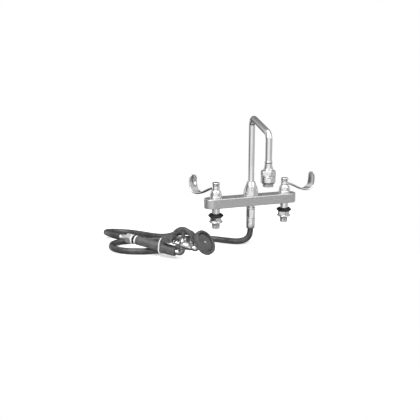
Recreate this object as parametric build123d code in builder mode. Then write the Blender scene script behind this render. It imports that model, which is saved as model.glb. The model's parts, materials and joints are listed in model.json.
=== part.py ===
from build123d import *

import math
import os

# Deck-mounted mixing faucet with a swinging spout and a spray valve on a flexible hose.
# Millimetres, +Z up. The origin is the centre of the mixing bar's underside, which stands on the deck.
# +X runs along the bar to the right-hand valve, -Y points to the user.

# Driving dimensions
INLET_SPACING = 203.2
BAR_LENGTH = 267.0
BAR_WIDTH = 41.0
BAR_HEIGHT = 25.4
GALLERY_HEIGHT = 13.0

SHANK_RADIUS = 10.65
SHANK_END_RADIUS = 10.4
SHANK_BORE = 7.9
SHANK_LENGTH = 56.0
GASKET_TOP = -16.4
NUT_TOP = -26.0
NUT_FLANGE_TOP = -35.5
NUT_BOTTOM = -40.0

STEM_RADIUS = 4.9
STEM_BORE = 5.0
BONNET_TOP = 47.5
HUB_RADIUS = 10.0
HUB_TOP = 61.5
CAP_TOP = 67.0
LEFT_HANDLE_ANGLE = 110.0
RIGHT_HANDLE_ANGLE = 8.0
BLADE_WIDTH = 28.5
ARM_WIDTH = 10.0

SPOUT_RADIUS = 8.0
SPOUT_WALL = 1.2
SPOUT_RISE = 234.0
SPOUT_REACH = 160.0
SPOUT_DROP = 204.5
SPOUT_BEND = 20.0
SPOUT_ANGLE = -101.0
SPOUT_FOOT = 19.0

HOSE_RADIUS = 8.0
HOSE_TOP = -65.0
FLOOR_LINE = -100.0

VALVE_ORIGIN = Vector(-310.5, 30.3, -74.5)
VALVE_YAW = -48.0
VALVE_DIP = 7.5
VALVE_ROLL = 4.0
GRIP_RADIUS = 12.0
GRIP_TUBE_RADIUS = 8.0
GRIP_BORE = 6.6
SLEEVE_END = 78.5
COLLAR_END = 118.0
HOLD_STATION = 76.0
STEM_STATION = 135.5
BARREL_HEIGHT = 23.6
NECK_STATION = 172.0
HEAD_TILT = 43.3
SWIVEL_TILT = 5.5
SWIVEL_STATION = -8.0
SWIVEL_HEIGHT = -1.2
HOSE_END = -42.0
PIN_STATION = 161.0
PIN_HEIGHT = 38.0

valve_x = INLET_SPACING / 2
os.makedirs("parts", exist_ok=True)

# Every section plane below has its local Y along a piece's own axis and its local X along the radius.


def upright(x, y):
    """The section plane of a vertical axis through the point x, y."""
    return Plane(origin=(x, y, 0), x_dir=(1, 0, 0), z_dir=(0, -1, 0))


def section_plane(origin, along, across):
    """The section plane of an axis that runs along one direction, with another as its radius."""
    return Plane(origin=origin, x_dir=across, z_dir=across.cross(along))


def turn(section, *outline):
    """Turn a closed outline, given as radius and height pairs, about the section plane's axis."""
    with BuildSketch(section) as profile:
        with BuildLine():
            Polyline(*outline, close=True)
        make_face()
    revolve(profile.sketch, axis=Axis(section.origin, section.y_dir))


def tube(section, inner, outer, low, high, edge=0.0):
    """Turn a plain ring, tube or bar (inner 0), with its outer edges chamfered by edge."""
    if edge == 0:
        turn(section, (inner, low), (outer, low), (outer, high), (inner, high))
        return
    turn(
        section,
        (inner, low),
        (outer - edge, low),
        (outer, low + edge),
        (outer, high - edge),
        (outer - edge, high),
        (inner, high),
    )


def rod(section, radius, low, high, edge=0.0):
    """Turn a plain round bar, with its edges chamfered by edge."""
    tube(section, 0, radius, low, high, edge)


def station(section, height):
    """The plane square to the section's axis at a height along it."""
    origin = section.origin + section.y_dir * height
    return Plane(origin=origin, x_dir=section.x_dir, z_dir=section.y_dir)


def hexagon(section, corner_radius, bore, low, high, edge):
    """Add a hexagonal nut with its corners turned down at both ends."""
    with BuildSketch(station(section, low)) as outline:
        RegularPolygon(radius=corner_radius, side_count=6)
        if bore > 0:
            Circle(bore, mode=Mode.SUBTRACT)
    extrude(outline.sketch, amount=high - low)
    with BuildSketch(section) as envelope:
        with BuildLine():
            Polyline(
                (0, low),
                (corner_radius - edge, low),
                (corner_radius, low + edge * 0.6),
                (corner_radius, high - edge * 0.6),
                (corner_radius - edge, high),
                (0, high),
                close=True,
            )
        make_face()
    revolve(envelope.sketch, axis=Axis(section.origin, section.y_dir), mode=Mode.INTERSECT)


def coil(section, radius, wire, low, high, turns):
    """Add a round-wire compression spring between two heights on the section's axis."""
    pitch = (high - low - 2 * wire) / turns
    start = station(section, low + wire)
    line = Helix(
        pitch=pitch,
        height=high - low - 2 * wire,
        radius=radius,
        center=start.origin,
        direction=start.z_dir,
    )
    with BuildSketch(Plane(origin=line @ 0, z_dir=line % 0)) as round_wire:
        Circle(wire)
    sweep(round_wire.sketch, path=line)


# Mixing bar

centre = upright(0, 0)
left = upright(-valve_x, 0)
right = upright(valve_x, 0)

with BuildPart() as faucet_body:
    with BuildSketch():
        SlotOverall(BAR_LENGTH, BAR_WIDTH)
    extrude(amount=BAR_HEIGHT)
    fillet(faucet_body.faces().sort_by(Axis.Z)[-1].edges(), radius=2.0)
    fillet(faucet_body.faces().sort_by(Axis.Z)[0].edges(), radius=1.2)
    with Locations((-valve_x, 0, BAR_HEIGHT), (valve_x, 0, BAR_HEIGHT)):
        Hole(radius=10.0, depth=BAR_HEIGHT - 6.0)
        Hole(radius=SHANK_BORE)
    with BuildSketch(Plane.XY):
        with Locations((-valve_x, 0), (valve_x, 0)):
            Circle(SHANK_RADIUS)
    extrude(amount=6.0, mode=Mode.SUBTRACT)
    with Locations((0, 0, BAR_HEIGHT)):
        Hole(radius=10.0, depth=BAR_HEIGHT - 8.0)
        Hole(radius=6.0)
    with BuildSketch(Plane.XY):
        Circle(8.5)
    extrude(amount=5.0, mode=Mode.SUBTRACT)
    with BuildSketch(Plane.YZ.offset(-valve_x)):
        with Locations((0, GALLERY_HEIGHT)):
            Circle(4.0)
    extrude(amount=INLET_SPACING, mode=Mode.SUBTRACT)
faucet_body.part.label = "faucet_body"
export_step(faucet_body.part, "parts/faucet_body.step")

# Supply shanks, with the rubber gasket and the locknut that clamp the deck

for side, axis in (("left", left), ("right", right)):
    with BuildPart() as inlet_shank:
        tube(axis, SHANK_BORE, SHANK_RADIUS, -41.0, 6.0)
        tube(axis, SHANK_BORE, SHANK_END_RADIUS, -SHANK_LENGTH, -41.0, edge=0.8)
    inlet_shank.part.label = side + "_inlet_shank"
    export_step(inlet_shank.part, "parts/" + side + "_inlet_shank.step")

with BuildPart() as deck_gaskets:
    for axis in (left, right):
        middle = (GASKET_TOP + NUT_TOP) / 2
        turn(
            axis,
            (SHANK_RADIUS, NUT_TOP),
            (16.0, NUT_TOP),
            (20.8, middle),
            (16.0, GASKET_TOP),
            (SHANK_RADIUS, GASKET_TOP),
        )
deck_gaskets.part.label = "deck_gaskets"
export_step(deck_gaskets.part, "parts/deck_gaskets.step")

with BuildPart() as locknuts:
    for axis in (left, right):
        with BuildSketch(station(axis, NUT_FLANGE_TOP)) as flats:
            RegularPolygon(radius=16.4, side_count=6)
            Circle(SHANK_RADIUS, mode=Mode.SUBTRACT)
        extrude(flats.sketch, amount=NUT_TOP - NUT_FLANGE_TOP)
        turn(
            axis,
            (SHANK_RADIUS, NUT_BOTTOM),
            (17.0, NUT_BOTTOM),
            (18.4, -38.5),
            (16.4, NUT_FLANGE_TOP),
            (SHANK_RADIUS, NUT_FLANGE_TOP),
        )
locknuts.part.label = "locknuts"
export_step(locknuts.part, "parts/locknuts.step")

# Quarter-turn ceramic cartridges under the two handles

with BuildPart() as bonnet_rings:
    for axis in (left, right):
        tube(axis, 11.8, 16.0, BAR_HEIGHT, 31.5, edge=0.8)
bonnet_rings.part.label = "bonnet_rings"
export_step(bonnet_rings.part, "parts/bonnet_rings.step")

with BuildPart() as seat_discs:
    for axis in (left, right):
        tube(axis, 3.0, 9.9, 6.0, 8.0)
seat_discs.part.label = "seat_discs"
export_step(seat_discs.part, "parts/seat_discs.step")

for side, axis, angle in (
    ("left", left, LEFT_HANDLE_ANGLE),
    ("right", right, RIGHT_HANDLE_ANGLE),
):
    with BuildPart() as cartridge:
        turn(
            axis,
            (8.4, 8.0),
            (9.9, 8.0),
            (9.9, BAR_HEIGHT),
            (11.7, BAR_HEIGHT),
            (11.7, 33.0),
            (STEM_BORE, 33.0),
            (STEM_BORE, 14.0),
            (8.4, 14.0),
        )
    cartridge.part.label = side + "_cartridge"
    export_step(cartridge.part, "parts/" + side + "_cartridge.step")

    with BuildPart() as bonnet:
        with BuildSketch(axis) as dome:
            with BuildLine():
                Line((STEM_BORE, BONNET_TOP), (9.4, BONNET_TOP))
                ThreePointArc((9.4, BONNET_TOP), (13.2, 42.5), (14.7, 36.5))
                Line((14.7, 36.5), (14.7, 31.5))
                Line((14.7, 31.5), (11.9, 31.5))
                Line((11.9, 31.5), (11.9, 34.0))
                Line((11.9, 34.0), (9.0, 41.0))
                Line((9.0, 41.0), (STEM_BORE, 41.0))
                Line((STEM_BORE, 41.0), (STEM_BORE, BONNET_TOP))
            make_face()
        revolve(dome.sketch, axis=Axis(axis.origin, axis.y_dir))
    bonnet.part.label = side + "_bonnet"
    export_step(bonnet.part, "parts/" + side + "_bonnet.step")

    with BuildPart() as turning_disc:
        tube(axis, 0.8, 8.2, 8.1, 10.6)
        with BuildSketch(station(axis, 8.1)) as port:
            with PolarLocations(5.4, 2, start_angle=angle):
                Circle(1.9)
        extrude(port.sketch, amount=2.5, mode=Mode.SUBTRACT)
    turning_disc.part.label = side + "_turning_disc"
    export_step(turning_disc.part, "parts/" + side + "_turning_disc.step")

    with BuildPart() as stem:
        rod(axis, 8.0, 10.6, 13.7)
        rod(axis, STEM_RADIUS, 13.7, 58.0, edge=0.3)
    stem.part.label = side + "_stem"
    export_step(stem.part, "parts/" + side + "_stem.step")

    outward = Vector(1, 0, 0).rotate(Axis.Z, angle)
    blade_plane = Plane(origin=axis.origin, x_dir=outward, z_dir=outward.cross(Vector(0, 0, 1)))
    top_plane = Plane(origin=axis.origin, x_dir=outward, z_dir=(0, 0, 1))
    with BuildPart() as handle:
        with BuildSketch(blade_plane) as strip:
            with BuildLine():
                upper = Spline(
                    (0, 56.5),
                    (21, 50.0),
                    (47, 39.5),
                    (68, 31.0),
                    (84, 34.5),
                    (91, 48.0),
                    (92, 63.0),
                    (91, 76.0),
                    tangents=((1, -0.15), (-0.1, 1)),
                )
                Line(upper @ 1, (95.4, 76.5))
                lower = Spline(
                    (95.4, 76.5),
                    (97.4, 64.0),
                    (96.2, 45.0),
                    (87, 28.5),
                    (69, 24.0),
                    (45.5, 32.5),
                    (21, 44.0),
                    (0, 49.5),
                    tangents=((0.15, -1), (-1, 0.1)),
                )
                Line(lower @ 1, upper @ 0)
            make_face()
        extrude(strip.sketch, amount=BLADE_WIDTH / 2, both=True)
        with BuildSketch(top_plane) as plan:
            with BuildLine():
                Polyline(
                    (0, ARM_WIDTH / 2),
                    (44, ARM_WIDTH / 2),
                    (74, BLADE_WIDTH / 2),
                    (110, BLADE_WIDTH / 2),
                    (110, -BLADE_WIDTH / 2),
                    (74, -BLADE_WIDTH / 2),
                    (44, -ARM_WIDTH / 2),
                    (0, -ARM_WIDTH / 2),
                    close=True,
                )
            make_face()
        extrude(plan.sketch, amount=100, mode=Mode.INTERSECT)
        corners = handle.edges().filter_by(
            lambda edge: edge.center().Z > 70 and abs(edge.tangent_at(0.5).Z) < 0.2 and edge.length < 8
        )
        fillet(corners, radius=9.0)
        rod(axis, HUB_RADIUS, 48.0, HUB_TOP, edge=0.5)
        with BuildSketch(station(axis, 48.0)) as bore:
            Circle(STEM_RADIUS)
        extrude(bore.sketch, amount=HUB_TOP - 48.0, mode=Mode.SUBTRACT)
    handle.part.label = side + "_handle"
    export_step(handle.part, "parts/" + side + "_handle.step")

    with BuildPart() as handle_cap:
        turn(
            axis,
            (0, 58.0),
            (STEM_RADIUS, 58.0),
            (STEM_RADIUS, HUB_TOP),
            (HUB_RADIUS - 0.2, HUB_TOP),
            (HUB_RADIUS - 0.2, 65.2),
            (HUB_RADIUS - 1.6, CAP_TOP),
            (0, CAP_TOP + 0.4),
        )
    handle_cap.part.label = side + "_handle_cap"
    export_step(handle_cap.part, "parts/" + side + "_handle_cap.step")

# Spout hub, swinging spout and its outlet fitting

with BuildPart() as spout_bonnet:
    turn(
        centre,
        (19.8, BAR_HEIGHT),
        (19.9, 29.0),
        (19.4, 35.0),
        (18.0, 41.5),
        (16.0, 48.0),
        (13.7, 54.5),
        (11.6, 60.0),
        (10.9, 62.5),
        (8.3, 62.5),
        (8.3, 52.0),
        (12.4, 46.0),
        (12.4, BAR_HEIGHT),
    )
spout_bonnet.part.label = "spout_bonnet"
export_step(spout_bonnet.part, "parts/spout_bonnet.step")

spout_dir = Vector(1, 0, 0).rotate(Axis.Z, SPOUT_ANGLE)
outlet_x = spout_dir.X * SPOUT_REACH
outlet_y = spout_dir.Y * SPOUT_REACH
outlet = upright(outlet_x, outlet_y)
ADAPTER_TOP = 140.0
CONE_BOTTOM = 118.5
BARREL_TOP = 104.0
BARREL_BOTTOM = 86.5
OUTLET_BOTTOM = 79.0
OUTLET_RADIUS = 13.25
TUBE_END = 128.0

with BuildPart() as spout_tube:
    with BuildLine() as spout_path:
        FilletPolyline(
            (0, 0, SPOUT_FOOT),
            (0, 0, SPOUT_RISE),
            (outlet_x, outlet_y, SPOUT_DROP),
            (outlet_x, outlet_y, TUBE_END),
            radius=SPOUT_BEND,
        )
    with BuildSketch(Plane.XY.offset(SPOUT_FOOT)):
        Circle(SPOUT_RADIUS)
        Circle(SPOUT_RADIUS - SPOUT_WALL, mode=Mode.SUBTRACT)
    sweep(path=spout_path.line)
spout_tube.part.label = "spout_tube"
export_step(spout_tube.part, "parts/spout_tube.step")

with BuildPart() as spout_retainer:
    tube(centre, SPOUT_RADIUS, 11.8, 33.0, 37.0, edge=0.5)
    with BuildSketch(station(centre, 33.0)) as gap:
        with Locations((0, 10)):
            Rectangle(2.5, 8)
    extrude(gap.sketch, amount=4.0, mode=Mode.SUBTRACT)
spout_retainer.part.label = "spout_retainer"
export_step(spout_retainer.part, "parts/spout_retainer.step")

with BuildPart() as spout_seals:
    tube(centre, SPOUT_RADIUS, 9.9, 19.4, 21.2, edge=0.4)
    tube(centre, SPOUT_RADIUS, 9.9, 22.4, 24.2, edge=0.4)
spout_seals.part.label = "spout_seals"
export_step(spout_seals.part, "parts/spout_seals.step")

with BuildPart() as spout_adapter:
    turn(
        outlet,
        (SPOUT_RADIUS, ADAPTER_TOP),
        (8.9, ADAPTER_TOP),
        (9.3, 139.0),
        (9.3, 136.5),
        (8.8, 135.5),
        (9.0, 133.0),
        (12.2, CONE_BOTTOM + 1.0),
        (12.2, CONE_BOTTOM),
        (10.0, CONE_BOTTOM),
        (10.0, 110.0),
        (7.0, 110.0),
        (7.0, TUBE_END),
        (SPOUT_RADIUS, TUBE_END),
    )
spout_adapter.part.label = "spout_adapter"
export_step(spout_adapter.part, "parts/spout_adapter.step")

with BuildPart() as breaker_collar:
    hexagon(outlet, 18.4, 10.0, BARREL_TOP, CONE_BOTTOM, 3.2)
breaker_collar.part.label = "breaker_collar"
export_step(breaker_collar.part, "parts/breaker_collar.step")

with BuildPart() as breaker_body:
    turn(
        outlet,
        (12.6, BARREL_TOP),
        (16.8, BARREL_TOP),
        (17.5, 102.5),
        (17.5, 91.0),
        (16.5, 88.2),
        (14.4, BARREL_BOTTOM),
        (11.0, BARREL_BOTTOM),
        (11.0, 92.0),
        (12.6, 92.0),
    )
breaker_body.part.label = "breaker_body"
export_step(breaker_body.part, "parts/breaker_body.step")

with BuildPart() as breaker_seat:
    tube(outlet, 6.0, 12.6, 92.0, 94.0)
breaker_seat.part.label = "breaker_seat"
export_step(breaker_seat.part, "parts/breaker_seat.step")

with BuildPart() as breaker_poppet:
    rod(outlet, 8.6, 94.1, 96.6, edge=0.4)
    rod(outlet, 3.0, 96.6, 101.0, edge=0.4)
breaker_poppet.part.label = "breaker_poppet"
export_step(breaker_poppet.part, "parts/breaker_poppet.step")

with BuildPart() as outlet_nipple:
    turn(
        outlet,
        (9.0, OUTLET_BOTTOM),
        (OUTLET_RADIUS - 0.8, OUTLET_BOTTOM),
        (OUTLET_RADIUS, OUTLET_BOTTOM + 0.8),
        (OUTLET_RADIUS, BARREL_BOTTOM),
        (11.0, BARREL_BOTTOM),
        (11.0, 92.0),
        (9.0, 92.0),
    )
outlet_nipple.part.label = "outlet_nipple"
export_step(outlet_nipple.part, "parts/outlet_nipple.step")

# Diverter under the spout, which sends water to the hose when the spray valve is open

with BuildPart() as diverter_poppet:
    rod(centre, 8.6, 8.1, 10.8, edge=0.4)
    rod(centre, 3.0, 2.0, 8.1, edge=0.4)
diverter_poppet.part.label = "diverter_poppet"
export_step(diverter_poppet.part, "parts/diverter_poppet.step")

with BuildPart() as diverter_spring:
    coil(centre, 7.2, 0.55, 10.8, SPOUT_FOOT, 3)
diverter_spring.part.label = "diverter_spring"
export_step(diverter_spring.part, "parts/diverter_spring.step")

# Hose coupling under the bar

with BuildPart() as hose_nipple:
    tube(centre, 5.0, 8.5, -30.0, 5.0)
hose_nipple.part.label = "hose_nipple"
export_step(hose_nipple.part, "parts/hose_nipple.step")

with BuildPart() as hose_collar:
    tube(centre, 8.5, 12.0, -12.0, -6.5, edge=0.7)
hose_collar.part.label = "hose_collar"
export_step(hose_collar.part, "parts/hose_collar.step")

with BuildPart() as hose_nut:
    hexagon(centre, 11.9, 8.5, -33.0, -12.0, 0.9)
hose_nut.part.label = "hose_nut"
export_step(hose_nut.part, "parts/hose_nut.step")

with BuildPart() as hose_ferrule:
    turn(
        centre,
        (5.0, HOSE_TOP),
        (11.2, HOSE_TOP),
        (11.9, -62.5),
        (12.1, -36.0),
        (11.6, -33.0),
        (5.0, -33.0),
    )
hose_ferrule.part.label = "hose_ferrule"
export_step(hose_ferrule.part, "parts/hose_ferrule.step")

# Spray valve frame: forward runs along the grip to the spray head, upward to the stem button

forward = Vector(1, 0, 0).rotate(Axis.Y, VALVE_DIP).rotate(Axis.Z, VALVE_YAW)
upward = Vector(0, 0, 1).rotate(Axis.Y, VALVE_DIP).rotate(Axis.Z, VALVE_YAW)
upward = upward.rotate(Axis((0, 0, 0), tuple(forward)), VALVE_ROLL)
sideways = forward.cross(upward)


def valve_point(along, height):
    """The point in the valve's middle plane at a distance along the grip and a height over it."""
    return VALVE_ORIGIN + forward * along + upward * height


side_plane = Plane(origin=VALVE_ORIGIN, x_dir=forward, z_dir=sideways)
grip_axis = section_plane(VALVE_ORIGIN, forward, upward)
stem_axis = section_plane(valve_point(STEM_STATION, 0), upward, forward)
neck_axis = section_plane(valve_point(0, BARREL_HEIGHT), forward, upward)
pin_axis = section_plane(valve_point(PIN_STATION, PIN_HEIGHT), sideways, forward)

head_along = forward * math.cos(math.radians(HEAD_TILT)) + upward * math.sin(math.radians(HEAD_TILT))
head_across = upward * math.cos(math.radians(HEAD_TILT)) - forward * math.sin(math.radians(HEAD_TILT))
head_axis = section_plane(valve_point(NECK_STATION, BARREL_HEIGHT), head_along, head_across)

swivel_along = forward * math.cos(math.radians(SWIVEL_TILT)) + upward * math.sin(math.radians(SWIVEL_TILT))
swivel_across = upward * math.cos(math.radians(SWIVEL_TILT)) - forward * math.sin(math.radians(SWIVEL_TILT))
swivel_axis = section_plane(valve_point(SWIVEL_STATION, SWIVEL_HEIGHT), swivel_along, swivel_across)

# Spray hose. The points are the corners of its route, from the ferrule to the valve's swivel.

hose_end = swivel_axis.origin + swivel_along * HOSE_END
hose_run_in = swivel_axis.origin + swivel_along * (HOSE_END - 20)
HOSE_ROUTE = (
    (0, 0, HOSE_TOP),
    (0, 0, -83),
    (-12, 0, -97),
    (-36, 0, FLOOR_LINE),
    (-60, 20, FLOOR_LINE),
    (-88, 50, FLOOR_LINE),
    (-130, 70, FLOOR_LINE),
    (-190, 84, FLOOR_LINE),
    (-255, 98, FLOOR_LINE),
    (-318, 118, FLOOR_LINE),
    (-356, 108, FLOOR_LINE),
    (-369, 72, FLOOR_LINE),
    (-352, 33, FLOOR_LINE),
    (-306, 7, FLOOR_LINE),
    (-258, -1, FLOOR_LINE),
    (-212, -2, FLOOR_LINE),
    (-172, 10, -95),
    (-150, 38, -81),
    (-152, 72, -80),
    (-172, 96, -85),
    (-202, 108, -98),
    (-234, 136, FLOOR_LINE),
    (-268, 182, FLOOR_LINE),
    (-297, 209, FLOOR_LINE),
    (-325, 218, -98),
    (-347, 205, -93),
    (-360, 177, -86),
    (-364, 144, -79),
    (-362, 110, -74),
    hose_run_in,
    hose_end,
)


def bend_radii(points):
    """The radius at each inner corner: a share of the shorter run beside it, over the half turn."""
    radii = []
    for before, corner, after in zip(points, points[1:], points[2:]):
        run_in = Vector(corner) - Vector(before)
        run_out = Vector(after) - Vector(corner)
        half_turn = math.radians(run_in.get_angle(run_out)) / 2
        radii.append(0.45 * min(run_in.length, run_out.length) / math.tan(half_turn))
    return radii


with BuildPart() as spray_hose:
    with BuildLine() as hose_line:
        FilletPolyline(*HOSE_ROUTE, radius=bend_radii(HOSE_ROUTE))
    with BuildSketch(Plane.XY.offset(HOSE_TOP)):
        Circle(HOSE_RADIUS)
    sweep(path=hose_line.line)
spray_hose.part.label = "spray_hose"
export_step(spray_hose.part, "parts/spray_hose.step")
hose_length = sum(edge.length for edge in hose_line.line.edges())
print("hose length", round(hose_length, 1))
print("hose bend radii", [round(radius, 1) for radius in bend_radii(HOSE_ROUTE)])
print("hose volume", round(spray_hose.part.volume))
print("section times length", round(math.pi * HOSE_RADIUS**2 * hose_length))

# Spray valve, from the hose end forward

with BuildPart() as swivel_tube:
    turn(
        swivel_axis,
        (3.2, HOSE_END),
        (7.4, HOSE_END),
        (7.4, HOSE_END + 2),
        (5.9, HOSE_END + 2.6),
        (5.9, 0.0),
        (4.8, 0.0),
        (4.8, 10.0),
        (3.2, 10.0),
    )
swivel_tube.part.label = "swivel_tube"
export_step(swivel_tube.part, "parts/swivel_tube.step")

with BuildPart() as swivel_nut:
    hexagon(swivel_axis, 14.0, 5.9, -20.0, -5.0, 1.4)
swivel_nut.part.label = "swivel_nut"
export_step(swivel_nut.part, "parts/swivel_nut.step")

with BuildPart() as swivel_flange:
    tube(swivel_axis, 5.9, 12.6, -4.5, -0.5, edge=1.0)
swivel_flange.part.label = "swivel_flange"
export_step(swivel_flange.part, "parts/swivel_flange.step")

with BuildPart() as swivel_washer:
    tube(swivel_axis, 5.2, 11.2, 0.0, 3.6, edge=0.4)
swivel_washer.part.label = "swivel_washer"
export_step(swivel_washer.part, "parts/swivel_washer.step")

with BuildPart() as grip_ring:
    tube(grip_axis, GRIP_TUBE_RADIUS, 11.4, -2.5, 2.5, edge=0.8)
grip_ring.part.label = "grip_ring"
export_step(grip_ring.part, "parts/grip_ring.step")

with BuildPart() as grip_tube:
    tube(grip_axis, GRIP_BORE, GRIP_TUBE_RADIUS, -2.5, 104.0)
grip_tube.part.label = "grip_tube"
export_step(grip_tube.part, "parts/grip_tube.step")

with BuildPart() as grip_sleeve:
    tube(grip_axis, GRIP_TUBE_RADIUS, GRIP_RADIUS, 2.5, SLEEVE_END, edge=0.8)
grip_sleeve.part.label = "grip_sleeve"
export_step(grip_sleeve.part, "parts/grip_sleeve.step")

with BuildPart() as grip_collar:
    turn(
        grip_axis,
        (GRIP_TUBE_RADIUS, SLEEVE_END),
        (12.6, SLEEVE_END),
        (13.4, SLEEVE_END + 2.4),
        (13.1, 106.0),
        (12.6, COLLAR_END - 2.4),
        (11.6, COLLAR_END),
        (GRIP_TUBE_RADIUS, COLLAR_END),
    )
grip_collar.part.label = "grip_collar"
export_step(grip_collar.part, "parts/grip_collar.step")

with BuildPart() as hold_ring:
    ring_plane = Plane(origin=valve_point(HOLD_STATION, 5.5), x_dir=sideways, z_dir=forward)
    with BuildLine(ring_plane) as loop:
        ThreePointArc((14.0, -6.5), (0, -20.5), (-14.0, -6.5))
        Line((-14.0, -6.5), (-14.0, 6.5))
        ThreePointArc((-14.0, 6.5), (0, 20.5), (14.0, 6.5))
        Line((14.0, 6.5), (14.0, -6.5))
    wire_plane = Plane(origin=loop.line @ 0, z_dir=loop.line % 0)
    with BuildSketch(wire_plane) as wire:
        Circle(1.5)
    sweep(wire.sketch, path=loop.line)
hold_ring.part.label = "hold_ring"
export_step(hold_ring.part, "parts/hold_ring.step")

BODY_RADIUS = 7.2
BODY_BORE = 4.2
INLET_START = 104.0
CHAMBER_RADIUS = 8.6
CHAMBER_BORE = 5.8
CHAMBER_FLOOR = 10.0
CHAMBER_TOP = 36.0
BARREL_RADIUS = 9.0
EAR_GAP = 5.3
EAR_THICKNESS = 2.4

with BuildPart() as spray_body:
    with BuildLine(side_plane) as inlet_path:
        FilletPolyline((INLET_START, 0), (STEM_STATION, 0), (STEM_STATION, 16), radius=9)
    with BuildSketch(station(grip_axis, INLET_START)) as inlet_round:
        Circle(BODY_RADIUS)
    sweep(inlet_round.sketch, path=inlet_path.line)
    tube(grip_axis, 0.5, GRIP_TUBE_RADIUS, INLET_START, INLET_START + 4)
    rod(stem_axis, CHAMBER_RADIUS, 13.0, CHAMBER_TOP, edge=1.0)
    turn(
        neck_axis,
        (0, 124.0),
        (5.0, 124.0),
        (5.0, 130.0),
        (BARREL_RADIUS, 133.0),
        (BARREL_RADIUS, 158.0),
        (7.6, 163.0),
        (6.8, 163.6),
        (6.8, 165.4),
        (7.4, 166.0),
        (7.4, NECK_STATION),
        (0, NECK_STATION),
    )
    with Locations(Plane(origin=head_axis.origin)):
        Sphere(7.4)
    rod(head_axis, 6.0, 0.0, 12.0)
    ear_outline = (
        (PIN_STATION - 7, BARREL_HEIGHT - 2),
        (PIN_STATION - 4, PIN_HEIGHT + 3),
        (PIN_STATION + 4, PIN_HEIGHT + 3),
        (PIN_STATION + 4, BARREL_HEIGHT + 4),
    )
    for ear_side in (-1, 1):
        ear_plane = Plane(
            origin=VALVE_ORIGIN + sideways * (EAR_GAP * ear_side),
            x_dir=forward,
            z_dir=sideways * ear_side,
        )
        with BuildSketch(ear_plane) as ear:
            Polygon(*[(along, ear_side * height) for along, height in ear_outline], align=None)
        extrude(ear.sketch, amount=EAR_THICKNESS)
    with BuildSketch(side_plane) as pin_hole:
        with Locations((PIN_STATION, PIN_HEIGHT)):
            Circle(2.0)
    extrude(pin_hole.sketch, amount=20, both=True, mode=Mode.SUBTRACT)
    with BuildLine(side_plane) as bore_path:
        FilletPolyline((INLET_START, 0), (STEM_STATION, 0), (STEM_STATION, 12), radius=9)
    with BuildSketch(station(grip_axis, INLET_START)) as bore_round:
        Circle(BODY_BORE)
    sweep(bore_round.sketch, path=bore_path.line, mode=Mode.SUBTRACT)
    with BuildSketch(station(stem_axis, CHAMBER_FLOOR)) as chamber:
        Circle(CHAMBER_BORE)
    extrude(chamber.sketch, amount=30.0, mode=Mode.SUBTRACT)
    with BuildSketch(station(neck_axis, STEM_STATION)) as neck_bore:
        Circle(BODY_BORE)
    extrude(neck_bore.sketch, amount=NECK_STATION - STEM_STATION, mode=Mode.SUBTRACT)
    with BuildSketch(station(head_axis, -1.0)) as head_bore:
        Circle(BODY_BORE)
    extrude(head_bore.sketch, amount=14.0, mode=Mode.SUBTRACT)
spray_body.part.label = "spray_body"
export_step(spray_body.part, "parts/spray_body.step")

with BuildPart() as back_plug:
    turn(
        neck_axis,
        (0, 108.0),
        (5.4, 108.0),
        (6.0, 108.6),
        (6.0, 110.6),
        (4.4, 111.4),
        (4.4, 117.0),
        (6.0, 117.8),
        (6.0, 120.6),
        (5.0, 121.4),
        (5.0, 124.0),
        (0, 124.0),
    )
back_plug.part.label = "back_plug"
export_step(back_plug.part, "parts/back_plug.step")

with BuildPart() as valve_seat:
    tube(stem_axis, 3.4, CHAMBER_BORE, 19.5, 21.5)
valve_seat.part.label = "valve_seat"
export_step(valve_seat.part, "parts/valve_seat.step")

with BuildPart() as valve_spring:
    coil(stem_axis, 4.6, 0.5, CHAMBER_FLOOR, 16.8, 3)
valve_spring.part.label = "valve_spring"
export_step(valve_spring.part, "parts/valve_spring.step")

with BuildPart() as valve_stem:
    rod(stem_axis, 5.3, 16.8, 19.4)
    rod(stem_axis, 2.5, 19.4, 43.4)
    turn(
        stem_axis,
        (0, 43.4),
        (4.2, 43.4),
        (4.9, 45.0),
        (4.9, 57.5),
        (4.2, 60.5),
        (2.4, 62.2),
        (0, 62.6),
    )
valve_stem.part.label = "valve_stem"
export_step(valve_stem.part, "parts/valve_stem.step")

with BuildPart() as stem_bonnet:
    tube(stem_axis, 2.6, CHAMBER_BORE, 31.0, CHAMBER_TOP)
    tube(stem_axis, 2.6, 8.0, CHAMBER_TOP, 38.6, edge=0.6)
    tube(stem_axis, 2.6, 4.6, 38.6, 41.0, edge=0.4)
stem_bonnet.part.label = "stem_bonnet"
export_step(stem_bonnet.part, "parts/stem_bonnet.step")

with BuildPart() as lever_pin:
    rod(pin_axis, 2.0, -9.4, 9.4, edge=0.4)
lever_pin.part.label = "lever_pin"
export_step(lever_pin.part, "parts/lever_pin.step")

ARCH_CENTRE = (136.0, 38.6)
ARCH_OUTER = 31.0
ARCH_INNER = 25.0
ARCH_WIDTH = 10.0
ARCH_FOOT = 34.6
LEVER_WIDTH = 22.0
CHEEK_THICKNESS = 2.5
EYE_RADIUS = 3.4
BOSS_POINT = (101.0, 30.5)

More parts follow.
